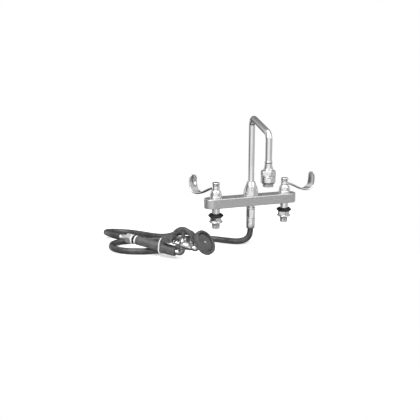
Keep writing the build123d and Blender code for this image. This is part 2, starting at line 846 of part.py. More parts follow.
with BuildPart() as squeeze_lever:
    with BuildSketch(side_plane) as arch:
        with Locations(ARCH_CENTRE):
            Circle(ARCH_OUTER)
            Circle(ARCH_INNER, mode=Mode.SUBTRACT)
        with Locations((ARCH_CENTRE[0], ARCH_FOOT - 30)):
            Rectangle(90, 60, mode=Mode.SUBTRACT)
        with Locations((PIN_STATION, PIN_HEIGHT)):
            Circle(EYE_RADIUS)
            Circle(2.05, mode=Mode.SUBTRACT)
    extrude(arch.sketch, amount=ARCH_WIDTH / 2, both=True)
    with BuildSketch(side_plane) as channel:
        Polygon((80.5, 21), (107, 25.5), (111, 32), (111, 45), (104, 44), (96, 38.6), (80.5, 34.4), align=None)
    extrude(channel.sketch, amount=LEVER_WIDTH / 2, both=True)
    with BuildSketch(side_plane) as hollow:
        Polygon(
            (83, 0),
            (112, 0),
            (112, 33.5),
            (107.5, 36),
            (107.5, 40.5),
            (104, 40.2),
            (96, 35),
            (83, 31.4),
            align=None,
        )
    extrude(hollow.sketch, amount=LEVER_WIDTH / 2 - CHEEK_THICKNESS, both=True, mode=Mode.SUBTRACT)
    with BuildSketch(side_plane.offset(LEVER_WIDTH / 2)) as boss:
        with Locations(BOSS_POINT):
            Circle(4.2)
            Circle(2.0, mode=Mode.SUBTRACT)
    extrude(boss.sketch, amount=1.2)
squeeze_lever.part.label = "squeeze_lever"
export_step(squeeze_lever.part, "parts/squeeze_lever.step")

# Spray head

HEAD_BORE = 4.2
HEAD_RADIUS = 27.4
FACE_RADIUS = 24.4
BUMPER_RADIUS = 31.8

with BuildPart() as neck_nut:
    hexagon(head_axis, 8.6, 6.0, 7.0, 12.0, 0.8)
neck_nut.part.label = "neck_nut"
export_step(neck_nut.part, "parts/neck_nut.step")

with BuildPart() as spray_head:
    turn(
        head_axis,
        (HEAD_BORE, 12.0),
        (7.6, 12.0),
        (9.0, 15.5),
        (15.0, 19.5),
        (HEAD_RADIUS, 26.0),
        (HEAD_RADIUS, 33.5),
        (FACE_RADIUS + 0.1, 33.5),
        (FACE_RADIUS + 0.1, 29.0),
        (13.0, 22.0),
        (HEAD_BORE, 17.0),
    )
spray_head.part.label = "spray_head"
export_step(spray_head.part, "parts/spray_head.step")

with BuildPart() as spray_face:
    rod(head_axis, FACE_RADIUS, 31.0, 33.5)
    with BuildSketch(station(head_axis, 31.0)) as jets:
        with PolarLocations(20.0, 20):
            Circle(0.9)
        with PolarLocations(14.0, 12):
            Circle(0.9)
        Circle(1.5)
    extrude(jets.sketch, amount=2.5, mode=Mode.SUBTRACT)
spray_face.part.label = "spray_face"
export_step(spray_face.part, "parts/spray_face.step")

with BuildPart() as face_screw:
    rod(head_axis, 1.5, 26.0, 33.5)
    rod(head_axis, 3.0, 33.5, 35.1, edge=0.5)
face_screw.part.label = "face_screw"
export_step(face_screw.part, "parts/face_screw.step")

with BuildPart() as spray_bumper:
    turn(
        head_axis,
        (HEAD_RADIUS, 25.0),
        (30.2, 25.0),
        (BUMPER_RADIUS, 27.5),
        (BUMPER_RADIUS, 36.5),
        (30.2, 38.5),
        (27.4, 38.8),
        (25.0, 37.0),
        (25.0, 33.5),
        (HEAD_RADIUS, 33.5),
    )
spray_bumper.part.label = "spray_bumper"
export_step(spray_bumper.part, "parts/spray_bumper.step")
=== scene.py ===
import json
import math

import bmesh
import bpy
from mathutils import Matrix, Quaternion, Vector


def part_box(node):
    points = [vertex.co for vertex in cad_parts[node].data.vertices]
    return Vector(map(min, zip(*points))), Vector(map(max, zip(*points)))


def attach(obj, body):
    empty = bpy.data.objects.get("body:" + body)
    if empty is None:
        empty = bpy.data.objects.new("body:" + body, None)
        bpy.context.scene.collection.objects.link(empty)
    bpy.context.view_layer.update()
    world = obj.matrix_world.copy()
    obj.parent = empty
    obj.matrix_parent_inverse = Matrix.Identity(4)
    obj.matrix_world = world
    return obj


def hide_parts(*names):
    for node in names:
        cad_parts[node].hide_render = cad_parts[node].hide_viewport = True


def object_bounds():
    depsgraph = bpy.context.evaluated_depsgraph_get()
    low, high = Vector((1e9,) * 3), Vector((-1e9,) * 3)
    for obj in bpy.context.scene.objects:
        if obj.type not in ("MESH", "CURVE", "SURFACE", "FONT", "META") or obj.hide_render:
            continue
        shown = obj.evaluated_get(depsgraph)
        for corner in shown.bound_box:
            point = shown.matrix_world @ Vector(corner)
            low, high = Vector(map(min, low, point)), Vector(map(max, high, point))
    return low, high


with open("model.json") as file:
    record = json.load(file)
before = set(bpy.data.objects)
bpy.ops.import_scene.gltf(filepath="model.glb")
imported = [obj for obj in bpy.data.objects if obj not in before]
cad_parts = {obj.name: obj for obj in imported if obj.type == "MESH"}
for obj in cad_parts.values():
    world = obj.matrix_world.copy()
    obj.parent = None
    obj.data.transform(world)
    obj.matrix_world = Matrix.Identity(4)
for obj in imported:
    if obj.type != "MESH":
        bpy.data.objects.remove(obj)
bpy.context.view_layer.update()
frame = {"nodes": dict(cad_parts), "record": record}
nodes = frame["nodes"]
joints = {joint["name"]: joint for joint in frame["record"]["behaviour"]["joints"]}

MM = 0.001
UP = Vector((0, 0, 1))

# Camera, at the photograph's viewing angle

CAMERA_AZIMUTH = -21.5
CAMERA_ELEVATION = 13.1
CAMERA_DISTANCE = 1.5
CAMERA_TARGET = Vector((-0.1181, 0, -0.0053))
CAMERA_LENS = 48.93


def direction(azimuth, elevation):
    """The unit vector from the object towards a viewer at that azimuth and elevation."""
    turn, lift = math.radians(azimuth), math.radians(elevation)
    return Vector((math.sin(turn) * math.cos(lift), -math.cos(turn) * math.cos(lift), math.sin(lift)))


def add_camera():
    """Create the scene's camera, aimed at its target with no shift."""
    data = bpy.data.cameras.new("camera")
    data.lens = CAMERA_LENS
    data.sensor_width = 36
    data.clip_start = 0.01
    camera = bpy.data.objects.new("camera", data)
    view = direction(CAMERA_AZIMUTH, CAMERA_ELEVATION)
    camera.location = CAMERA_TARGET + view * CAMERA_DISTANCE
    camera.rotation_euler = view.to_track_quat("Z", "Y").to_euler()
    bpy.context.collection.objects.link(camera)
    bpy.context.scene.camera = camera


# Materials


class Nodes:
    """A new material's node tree, with short calls for the nodes that several materials share."""

    def __init__(self, name, colour, metallic, roughness):
        self.material = bpy.data.materials.new(name)
        self.material.use_nodes = True
        self.tree = self.material.node_tree
        self.shader = self.tree.nodes["Principled BSDF"]
        self.shader.inputs["Base Color"].default_value = (*colour, 1)
        self.shader.inputs["Metallic"].default_value = metallic
        self.shader.inputs["Roughness"].default_value = roughness
        self.place = self.add("ShaderNodeTexCoord").outputs["Object"]

    def add(self, kind):
        return self.tree.nodes.new(kind)

    def link(self, source, target):
        self.tree.links.new(source, target)

    def noise(self, scale, detail=4.0, stretch=(1, 1, 1)):
        """A noise value at a scale per metre, stretched along the axes."""
        mapping = self.add("ShaderNodeMapping")
        mapping.inputs["Scale"].default_value = stretch
        self.link(self.place, mapping.inputs["Vector"])
        noise = self.add("ShaderNodeTexNoise")
        noise.inputs["Scale"].default_value = scale
        noise.inputs["Detail"].default_value = detail
        self.link(mapping.outputs["Vector"], noise.inputs["Vector"])
        return noise.outputs["Fac"]

    def ramp(self, value, low, high, from_low=0.3, from_high=0.7):
        """The value moved from one range to another."""
        node = self.add("ShaderNodeMapRange")
        node.inputs["From Min"].default_value = from_low
        node.inputs["From Max"].default_value = from_high
        node.inputs["To Min"].default_value = low
        node.inputs["To Max"].default_value = high
        self.link(value, node.inputs["Value"])
        return node.outputs["Result"]

    def roughness(self, value, low, high):
        self.link(self.ramp(value, low, high), self.shader.inputs["Roughness"])

    def colours(self, value, dark, light):
        """Mix two colours by the value."""
        node = self.add("ShaderNodeValToRGB")
        node.color_ramp.elements[0].position = 0.35
        node.color_ramp.elements[0].color = (*dark, 1)
        node.color_ramp.elements[1].position = 0.65
        node.color_ramp.elements[1].color = (*light, 1)
        self.link(value, node.inputs["Fac"])
        self.link(node.outputs["Color"], self.shader.inputs["Base Color"])

    def bump(self, value, height, strength=0.5):
        node = self.add("ShaderNodeBump")
        node.inputs["Strength"].default_value = strength
        node.inputs["Distance"].default_value = height
        self.link(value, node.inputs["Height"])
        self.link(node.outputs["Normal"], self.shader.inputs["Normal"])


def grey(value):
    return (value, value, value)


def chrome_material():
    """Polished chrome with faint water marks and a slight waviness of the cast metal."""
    look = Nodes("chrome", grey(0.86), 1.0, 0.06)
    look.colours(look.noise(90), (0.86, 0.865, 0.875), (0.91, 0.91, 0.92))
    look.roughness(look.noise(260, 6), 0.03, 0.09)
    look.bump(look.noise(45, 2), 0.0004, 0.04)
    return look.material


def satin_material():
    """Satin chrome on the cast bar, brushed lengthwise."""
    look = Nodes("satin_chrome", grey(0.6), 0.85, 0.32)
    brushed = look.noise(60, 6, (0.6, 22, 22))
    look.colours(brushed, grey(0.56), grey(0.66))
    look.roughness(look.noise(140, 5, (0.5, 8, 8)), 0.24, 0.4)
    look.bump(brushed, 0.0002, 0.18)
    return look.material


def brass_material():
    look = Nodes("brass", (0.64, 0.47, 0.22), 1.0, 0.28)
    look.colours(look.noise(120), (0.52, 0.37, 0.15), (0.7, 0.52, 0.27))
    look.roughness(look.noise(300, 5), 0.2, 0.42)
    return look.material


def steel_material():
    look = Nodes("steel", grey(0.66), 1.0, 0.18)
    look.colours(look.noise(200), grey(0.6), grey(0.78))
    look.roughness(look.noise(500, 5), 0.1, 0.26)
    return look.material


def moulded_material(name, dark, light, low, high, grain, height):
    """A moulded rubber or plastic, with a fine grain, uneven gloss and slight colour variation."""
    look = Nodes(name, light, 0.0, high)
    look.colours(look.noise(70, 5), dark, light)
    look.roughness(look.noise(180, 6), low, high)
    look.bump(look.noise(grain, 3), height, 0.35)
    return look.material


def hose_material():
    """Dark grey extruded rubber with faint scuffs and a soft sheen."""
    look = Nodes("hose_rubber", grey(0.07), 0.0, 0.4)
    look.colours(look.noise(55, 8), grey(0.028), grey(0.062))
    look.roughness(look.noise(150, 6), 0.26, 0.42)
    look.bump(look.noise(900, 3), 0.00025, 0.25)
    look.shader.inputs["Coat Weight"].default_value = 0.3
    look.shader.inputs["Coat Roughness"].default_value = 0.22
    return look.material


MATERIALS = {
    "chrome": chrome_material(),
    "satin_chrome": satin_material(),
    "brass": brass_material(),
    "steel": steel_material(),
    "hose_rubber": hose_material(),
    "black_rubber": moulded_material("black_rubber", grey(0.003), grey(0.009), 0.45, 0.7, 1400, 0.0003),
    "grey_plastic": moulded_material("grey_plastic", grey(0.07), grey(0.105), 0.32, 0.48, 1600, 0.0003),
    "dark_rubber": moulded_material("dark_rubber", grey(0.06), grey(0.09), 0.45, 0.65, 1500, 0.0003),
    "light_plastic": moulded_material("light_plastic", grey(0.72), grey(0.84), 0.25, 0.4, 1200, 0.0001),
    "ceramic": moulded_material("ceramic", grey(0.74), grey(0.84), 0.1, 0.2, 2000, 0.00005),
}
SLOTS = {part["node"]: part["material_slot"] for part in frame["record"]["subparts"]}


def dress_cad_nodes():
    """Give every CAD node the detailed material of its slot."""
    for name, node in nodes.items():
        material = MATERIALS[SLOTS[name]]
        for index in range(len(node.material_slots)):
            node.material_slots[index].material = material
        if not node.material_slots:
            node.data.materials.append(material)


# Mesh building


def axes(origin, along, across):
    """The matrix of a piece whose local Z runs along its own axis and local X across it."""
    along, across = Vector(along).normalized(), Vector(across).normalized()
    across = (across - along * across.dot(along)).normalized()
    turned = Matrix((across, along.cross(across), along)).transposed().to_4x4()
    turned.translation = Vector(origin)
    return turned


def finish_piece(name, mesh_data, place, body, slot, replaced=(), bevel=0.0, smooth=35):
    """Link a mesh given in millimetres in its own axes, dress it, and let it ride on its body."""
    mesh_data.transform(Matrix.Scale(MM, 4))
    mesh_data.transform(place)
    mesh_data.update()
    piece = bpy.data.objects.new(name, mesh_data)
    bpy.context.collection.objects.link(piece)
    mesh_data.shade_smooth()
    if bevel:
        rounded = piece.modifiers.new("edges", "BEVEL")
        rounded.width = bevel * MM
        rounded.segments = 3
        rounded.limit_method = "ANGLE"
        rounded.angle_limit = math.radians(smooth)
        rounded.harden_normals = False
    mesh_data.set_sharp_from_angle(angle=math.radians(smooth))
    mesh_data.materials.append(MATERIALS[slot])
    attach(piece, body)
    if replaced:
        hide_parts(*replaced)
    return piece


def mesh_from(name, points, faces):
    """A mesh with its doubled points merged and its faces turned outwards."""
    data = bpy.data.meshes.new(name)
    data.from_pydata([tuple(point) for point in points], [], faces)
    shape = bmesh.new()
    shape.from_mesh(data)
    bmesh.ops.remove_doubles(shape, verts=shape.verts, dist=1e-5)
    bmesh.ops.recalc_face_normals(shape, faces=shape.faces)
    shape.to_mesh(data)
    shape.free()
    return data


def skin(name, rings, closed=False):
    """A mesh through rings of equal point counts, closed end to end or capped by fans."""
    count = len(rings[0])
    points = [point for ring in rings for point in ring]
    faces = []
    spans = len(rings) if closed else len(rings) - 1
    for row in range(spans):
        low, high = row * count, (row + 1) % len(rings) * count
        for column in range(count):
            after = (column + 1) % count
            faces.append((low + column, low + after, high + after, high + column))
    if not closed:
        for row in (0, len(rings) - 1):
            middle = sum((Vector(point) for point in rings[row]), Vector()) / count
            points.append(middle)
            tip = len(points) - 1
            faces += [(row * count + (c + 1) % count, row * count + c, tip) for c in range(count)]
    return mesh_from(name, points, faces)


SEGMENTS = 96


def circle(radius, height, count=SEGMENTS, shape=None):
    """A ring of points at a height, with its radius cut down by shape(angle) where that is given."""
    ring = []
    for step in range(count):
        angle = math.tau * step / count
        reach = min(radius, shape(angle)) if shape else radius
        ring.append((reach * math.cos(angle), reach * math.sin(angle), height))
    return ring


def lathe(name, profile, closed=True, count=SEGMENTS, shape=None):
    """Turn radius and height pairs about local Z. A closed profile makes a ring."""
    rings = [circle(max(radius, 1e-4), height, count, shape) for radius, height in profile]
    return skin(name, rings, closed)


def hexagon(corner_radius):
    """The outline of a hexagon as a radius for each angle."""
    flat = corner_radius * math.cos(math.pi / 6)

    def reach(angle):
        within = angle % (math.pi / 3) - math.pi / 6
        return flat / math.cos(within)

    return reach


def nut_profile(corner_radius, bore, low, high, edge):
    """The profile of a nut whose corners are turned down at both ends."""
    rise = edge * 0.6
    outside = [
        (corner_radius - edge, low),
        (corner_radius - edge * 0.45, low + rise * 0.4),
        (corner_radius, low + rise),
        (corner_radius, (low + high) / 2),
        (corner_radius, high - rise),
        (corner_radius - edge * 0.45, high - rise * 0.4),
        (corner_radius - edge, high),
    ]
    return [(bore, low)] + outside + [(bore, high)]


def thread(name, root, crest, pitch, low, high, inner, turns_lead=1.5):
    """A tube with a helical thread outside, run out at both ends."""
    count = 72
    steps = max(2, int((high - low) / pitch * 8))
    rings = [circle(inner, low, count)]
    for step in range(steps + 1):
        height = low + (high - low) * step / steps
        ends = min(1.0, (height - low) / (pitch * turns_lead), (high - height) / (pitch * 0.8))
        ring = []
        for column in range(count):
            angle = math.tau * column / count
            phase = (height / pitch - angle / math.tau) % 1.0
            tooth = 1 - abs(phase * 2 - 1)
            tooth = min(1.0, max(0.0, tooth * 1.35 - 0.15))
            radius = root + (crest - root) * tooth * max(0.0, ends)
            ring.append((radius * math.cos(angle), radius * math.sin(angle), height))
        rings.append(ring)
    rings.append(circle(inner, high, count))
    return skin(name, rings, closed=True)


def arc_points(centre, radius, start, end, count):
    """Radius and height pairs round an arc, for a profile."""
    points = []
    for step in range(count + 1):
        angle = math.radians(start + (end - start) * step / count)
        points.append((centre[0] + radius * math.cos(angle), centre[1] + radius * math.sin(angle)))
    return points


def smooth_profile(points, per_span=5):
    """Points along a smooth curve through the given radius and height pairs."""
    padded = [points[0], *points, points[-1]]
    line = []
    for index in range(1, len(padded) - 2):
        before, start, end, after = (Vector(point) for point in padded[index - 1 : index + 3])
        for step in range(per_span):
            t = step / per_span
            line.append(
                0.5
                * (
                    2 * start
                    + (end - before) * t
                    + (2 * before - 5 * start + 4 * end - after) * t * t
                    + (3 * start - before - 3 * end + after) * t**3
                )
            )
    line.append(Vector(points[-1]))
    return [tuple(point) for point in line]


# The spray hose, first of all the pieces

VALVE_STATIONS = {"pin": (161.0, 38.0), "stem": 135.5, "neck": (172.0, 23.6), "swivel": (-8.0, -1.2)}
BARREL_HEIGHT = 23.6
HEAD_TILT = 43.3
SWIVEL_TILT = 5.5
forward = -Vector(joints["hold_ring_slide"]["axis"])
upward = -Vector(joints["stem_press"]["axis"])
sideways = forward.cross(upward)
pin = Vector(joints["lever_squeeze"]["pos_m"])
valve_origin = pin - forward * VALVE_STATIONS["pin"][0] * MM - upward * VALVE_STATIONS["pin"][1] * MM


def valve_point(along, height, side=0.0):
    """A point of the spray valve, from millimetres along its grip, over its axis and to its side."""
    return valve_origin + (forward * along + upward * height + sideways * side) * MM


def tilted(degrees):
    """The valve's forward direction tipped up by an angle, and the direction square to it."""
    angle = math.radians(degrees)
    along = forward * math.cos(angle) + upward * math.sin(angle)
    across = upward * math.cos(angle) - forward * math.sin(angle)
    return along, across


swivel_along, swivel_across = tilted(SWIVEL_TILT)
swivel_origin = valve_point(*VALVE_STATIONS["swivel"])
HOSE_END = -42.0
HOSE_RUN_IN = 20.0
HOSE_DIAMETER = 0.016
FLOOR_LINE = -0.100
hose_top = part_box("hose_ferrule")[0][2]
HOSE_ROUTE = [
    (0, 0, hose_top),
    (0, 0, -0.083),
    (-0.012, 0, -0.097),
    (-0.036, 0, FLOOR_LINE),
    (-0.060, 0.020, FLOOR_LINE),
    (-0.088, 0.050, FLOOR_LINE),
    (-0.130, 0.070, FLOOR_LINE),
    (-0.190, 0.084, FLOOR_LINE),
    (-0.255, 0.098, FLOOR_LINE),
    (-0.318, 0.118, FLOOR_LINE),
    (-0.356, 0.108, FLOOR_LINE),
    (-0.369, 0.072, FLOOR_LINE),
    (-0.352, 0.033, FLOOR_LINE),
    (-0.306, 0.007, FLOOR_LINE),
    (-0.258, -0.001, FLOOR_LINE),
    (-0.212, -0.002, FLOOR_LINE),
    (-0.172, 0.010, -0.095),
    (-0.150, 0.038, -0.081),
    (-0.152, 0.072, -0.080),
    (-0.172, 0.096, -0.085),
    (-0.202, 0.108, -0.098),
    (-0.234, 0.136, FLOOR_LINE),
    (-0.268, 0.182, FLOOR_LINE),
    (-0.297, 0.209, FLOOR_LINE),
    (-0.325, 0.218, -0.098),
    (-0.347, 0.205, -0.093),
    (-0.360, 0.177, -0.086),
    (-0.364, 0.144, -0.079),
    (-0.362, 0.110, -0.074),
    tuple(swivel_origin + swivel_along * (HOSE_END - HOSE_RUN_IN) * MM),
    tuple(swivel_origin + swivel_along * HOSE_END * MM),
]


def add_hose():
    """The hose, from the ferrule under the bar round its two loops to the valve's swivel."""
    curve = bpy.data.curves.new("spray_hose_line", "CURVE")
    curve.dimensions = "3D"
    curve.resolution_u = 16
    curve.bevel_depth = HOSE_DIAMETER / 2
    curve.bevel_resolution = 10
    curve.use_fill_caps = True
    spline = curve.splines.new("NURBS")
    spline.points.add(len(HOSE_ROUTE) - 1)
    for point, place in zip(spline.points, HOSE_ROUTE):
        point.co = (*place, 1)
    spline.order_u = 3
    spline.use_endpoint_u = True
    curve.materials.append(MATERIALS["hose_rubber"])
    hose = bpy.data.objects.new("hose", curve)
    bpy.context.collection.objects.link(hose)
    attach(hose, "faucet")
    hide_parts("spray_hose")


# Mixing bar, shanks and valves

centre_axis = axes((0, 0, 0), UP, (1, 0, 0))
SIDES = {"left": joints["left_handle_turn"]["pos_m"][0], "right": joints["right_handle_turn"]["pos_m"][0]}
BLADE_ANGLES = {"left": 110.0, "right": 8.0}


def upright(x, y=0.0, angle=0.0):
    """The axes of an upright piece at x, y, turned about its own axis."""
    turned = math.radians(angle)
    return axes((x, y, 0), UP, (math.cos(turned), math.sin(turned), 0))


def add_shank(side, x):
    """The threaded supply shank with its gasket and flanged locknut."""
    plain = lathe(side + "_shank", [(7.9, -24), (10.55, -24), (10.55, 5.8), (7.9, 5.8)])
    finish_piece(side + "_shank", plain, upright(x), "faucet", "chrome")
    threaded = thread(side + "_shank_thread", 9.7, 10.5, 1.81, -56, -24, 7.9)
    replaced = [side + "_inlet_shank"]
    finish_piece(side + "_shank_thread", threaded, upright(x), "faucet", "satin_chrome", replaced, smooth=60)
    rim = [(10.8, -25.9), (15.2, -25.9), (17.0, -25.3), (20.2, -22.0), (20.7, -21.2), (20.2, -20.4)]
    rim += [(17.0, -17.1), (15.2, -16.5), (10.8, -16.5)]
    gasket = lathe(side + "_gasket", rim)
    finish_piece(side + "_gasket", gasket, upright(x), "faucet", "black_rubber", bevel=0.25)
    sides = nut_profile(16.4, 10.8, -36.2, -26.0, 1.6)
    nut = lathe(side + "_locknut", sides, shape=hexagon(16.4), count=144)
    finish_piece(side + "_locknut", nut, upright(x, angle=12), "faucet", "chrome", bevel=0.25)
    flange = [(10.8, -40), (15.6, -40), (17.4, -39.6), (18.4, -38.6), (18.3, -37.8), (17.4, -36.8)]
    flange += [(15.8, -35.8), (10.8, -35.8)]
    collar = lathe(side + "_locknut_flange", flange)
    finish_piece(side + "_locknut_flange", collar, upright(x), "faucet", "chrome", bevel=0.2)


def add_valve(side, x):
    """The bonnet with its base ring over the bar."""
    ring = [(11.9, 25.4), (15.8, 25.4), (16, 25.9), (16, 29.4), (15.6, 30.8), (14.9, 31.5), (11.9, 31.5)]
    base = lathe(side + "_bonnet_ring", ring)
    finish_piece(side + "_bonnet_ring", base, upright(x), "faucet", "chrome", bevel=0.2)
    outside = smooth_profile([(14.7, 31.6), (14.7, 36), (13.9, 40.4), (12.2, 44.2), (10.0, 47.1)], 6)
    bonnet = lathe(side + "_bonnet_dome", [(5.2, 31.6), *outside, (9.2, 47.5), (5.2, 47.5)])
    finish_piece(side + "_bonnet_dome", bonnet, upright(x), "faucet", "chrome", [side + "_bonnet"])


# Each station of a blade: reach from the hub, height, thickness, width and depth of the cup

BLADE_LINE = [
    (4.0, 52.3, 7.6, 9.6, 0.0),
    (14.0, 49.6, 6.4, 9.6, 0.0),
    (26.0, 45.4, 5.6, 10.0, 0.0),
    (38.0, 40.0, 5.2, 11.6, 0.0),
    (50.0, 34.4, 5.2, 15.6, 0.4),
    (61.0, 30.6, 5.2, 20.6, 0.8),
    (71.0, 28.6, 5.0, 25.2, 1.0),
    (80.0, 29.8, 4.8, 27.8, 1.2),
    (87.6, 34.2, 4.6, 28.4, 1.4),
    (92.4, 42.6, 4.4, 28.5, 1.4),
    (94.4, 52.6, 4.2, 28.5, 1.4),
    (94.7, 62.0, 4.0, 28.3, 1.2),
    (94.2, 68.4, 3.8, 27.0, 1.0),
    (93.7, 73.2, 3.4, 21.6, 0.6),
    (93.3, 75.8, 2.6, 12.0, 0.2),
]


def blade_mesh(name):
    """The wrist blade: an arm that drops away from the hub and curves up into a cupped paddle."""
    fine = []
    for channel in range(5):
        pairs = [(index, row[channel]) for index, row in enumerate(BLADE_LINE)]
        fine.append([value for _, value in smooth_profile(pairs, 4)])
    stations = list(zip(*fine))
    rings = []
    for index, (reach, height, thick, width, cup) in enumerate(stations):
        before = stations[max(index - 1, 0)]
        after = stations[min(index + 1, len(stations) - 1)]
        heading = Vector((after[0] - before[0], after[1] - before[1])).normalized()
        outward = Vector((heading.y, -heading.x))
        ring = []
        for step in range(40):
            angle = math.tau * step / 40
            side = math.copysign(abs(math.cos(angle)) ** 0.5, math.cos(angle))
            depth = math.copysign(abs(math.sin(angle)) ** 0.8, math.sin(angle)) * thick / 2
            shift = depth - cup * side * side
            ring.append((reach + outward.x * shift, side * width / 2, height + outward.y * shift))
        rings.append(ring)
    return skin(name, rings)


def add_handle(side, x):
    """One handle: hub, cap and wrist blade."""
    body = side + "_handle"
    place = upright(x, angle=BLADE_ANGLES[side])
    hub = lathe(
        side + "_hub",
        [(4.95, 48.0), *smooth_profile([(8.6, 48.0), (9.7, 48.8), (10.0, 50.5), (9.5, 54.5)], 3)]
        + smooth_profile([(9.4, 56), (9.5, 58.5), (10.0, 61.0)], 3)
        + [(10.0, 61.5), (4.95, 61.5)],
    )
    finish_piece(side + "_hub", hub, place, body, "chrome", [side + "_handle"], bevel=0.15)
    cap = lathe(
        side + "_cap",
        [(0, 61.5), (9.7, 61.5), (9.9, 61.9), (9.9, 64.4), *arc_points((8.2, 65.0), 1.8, 0, 80, 5)]
        + [(5.0, 67.1), (0, 67.3)],
        closed=False,
    )
    finish_piece(side + "_cap", cap, place, body, "chrome", [side + "_handle_cap"], bevel=0.1)
    finish_piece(side + "_blade", blade_mesh(side + "_blade"), place, body, "chrome", smooth=60)


# Spout

SPOUT_BEND = 20.0
SPOUT_RISE = 234.0
SPOUT_DROP = 204.5
SPOUT_RADIUS = 8.0
SPOUT_END = 128.0
SPOUT_START = 26.0


def swept(name, path, radius, count=48):
    """A round bar along a path of points, with its ring kept from twisting."""
    rings, across = [], None
    for index, point in enumerate(path):
        before, after = path[max(index - 1, 0)], path[min(index + 1, len(path) - 1)]
        heading = (after - before).normalized()
        if across is None:
            across = heading.orthogonal().normalized()
        across = (across - heading * across.dot(heading)).normalized()
        other = heading.cross(across)
        ring = []
        for step in range(count):
            angle = math.tau * step / count
            ring.append(point + (across * math.cos(angle) + other * math.sin(angle)) * radius)
        rings.append(ring)
    return skin(name, rings)


def rounded_path(points, radius, steps=14):
    """A path through corners, each turned by an arc of the radius."""
    path = [points[0]]
    for before, corner, after in zip(points, points[1:], points[2:]):
        inward, outward = (before - corner).normalized(), (after - corner).normalized()
        half = inward.angle(outward) / 2
        reach = radius / math.tan(half)
        middle = corner + (inward + outward).normalized() * radius / math.sin(half)
        start = corner + inward * reach - middle
        turn = Quaternion(inward.cross(outward).normalized(), -(math.pi - 2 * half))
        for step in range(steps + 1):
            path.append(middle + Quaternion(turn.axis, turn.angle * step / steps) @ start)
    path.append(points[-1])
    return path


outlet_low, outlet_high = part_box("breaker_body")
outlet_x = (outlet_low[0] + outlet_high[0]) / 2
outlet_y = (outlet_low[1] + outlet_high[1]) / 2


def add_spout():
    """The bell-shaped hub, the swinging tube and the fitting at its end."""
    bell = [(19.7, 26.0), (19.8, 29.5), (19.2, 35.5), (17.8, 42), (15.8, 48.5), (13.5, 55), (11.6, 60)]
    outside = [(8.3, 25.4), (19.2, 25.4), *smooth_profile(bell, 5), (10.9, 61.8), (10.3, 62.5), (8.3, 62.5)]
    hub = lathe("spout_bell", outside)
    finish_piece("spout_bell", hub, centre_axis, "faucet", "chrome", ["spout_bonnet"])
    corners = [
        Vector((0, 0, SPOUT_START)),
        Vector((0, 0, SPOUT_RISE)),
        Vector((outlet_x / MM, outlet_y / MM, SPOUT_DROP)),
        Vector((outlet_x / MM, outlet_y / MM, SPOUT_END)),
    ]
    tube = swept("spout_pipe", rounded_path(corners, SPOUT_BEND), SPOUT_RADIUS)
    finish_piece("spout_pipe", tube, Matrix(), "spout", "chrome", ["spout_tube"])
    place = upright(outlet_x, outlet_y, 20)
    neck = [(8.05, 140.0), (8.7, 140.0), (9.2, 139.4), (9.2, 136.4), (8.8, 135.6), (8.7, 134.6)]
    neck += smooth_profile([(8.8, 133.5), (9.3, 129), (10.5, 124), (11.9, 120.0), (12.1, 118.6)], 4)
    adapter = lathe("spout_neck", neck + [(8.05, 118.6)])
    finish_piece("spout_neck", adapter, place, "spout", "chrome", ["spout_adapter"], bevel=0.15)
    sides = nut_profile(18.4, 8.8, 104.0, 118.5, 3.6)
    collar = lathe("outlet_hexagon", sides, shape=hexagon(18.4), count=192)
    finish_piece("outlet_hexagon", collar, place, "spout", "chrome", ["breaker_collar"], bevel=0.2)
    barrel = [(12.7, 104.0), (16.8, 104.0), (17.4, 103.3), (17.5, 101.6), (17.2, 101.0), (17.5, 100.4)]
    barrel += [(17.5, 92.0), *arc_points((13.1, 91.0), 4.4, 0, -84, 8), (11.1, 86.6), (12.7, 88.0)]
    finish_piece("outlet_barrel", lathe("outlet_barrel", barrel), place, "spout", "chrome", ["breaker_body"])
    nipple = thread("outlet_thread", 12.1, 13.2, 2.2, 79.0, 86.4, 9.0, turns_lead=0.5)
    finish_piece("outlet_thread", nipple, place, "spout", "satin_chrome", ["outlet_nipple"], smooth=60)


# Hose coupling under the bar


def add_coupling():
    """Collar, nut and ferrule between the bar and the hose."""
    ring = [(8.5, -12), (11.4, -12), (12, -11.2), (12, -7.2), (11.4, -6.5), (8.5, -6.5)]
    collar = lathe("coupling_collar", ring)
    finish_piece("coupling_collar", collar, centre_axis, "faucet", "chrome", ["hose_collar"], bevel=0.2)
    nut = lathe("coupling_nut", nut_profile(11.9, 8.5, -33.0, -12.0, 1.0), shape=hexagon(11.9), count=144)
    finish_piece("coupling_nut", nut, upright(0, 0, -11.5), "faucet", "chrome", ["hose_nut"], bevel=0.2)
    sleeve = [(5.0, -65.0), (8.2, -65.0), (11.0, -64.7), (11.6, -63.6), (11.8, -60.0)]
    sleeve += [(12.05, -57.0), (12.05, -38.0), (11.85, -37.4), (11.85, -36.6)]
    sleeve += [(12.05, -36.0), (11.6, -33.6), (10.6, -33.0), (5.0, -33.0)]
    ferrule = lathe("coupling_ferrule", sleeve)
    finish_piece("coupling_ferrule", ferrule, centre_axis, "faucet", "chrome", ["hose_ferrule"])


# Spray valve

grip_place = axes(valve_origin, forward, upward)
stem_place = axes(valve_point(VALVE_STATIONS["stem"], 0), upward, forward)
barrel_place = axes(valve_point(0, BARREL_HEIGHT), forward, upward)
head_along, head_across = tilted(HEAD_TILT)
head_place = axes(valve_point(*VALVE_STATIONS["neck"]), head_along, head_across)
swivel_place = axes(swivel_origin, swivel_along, swivel_across)
pin_place = axes(pin, sideways, forward)


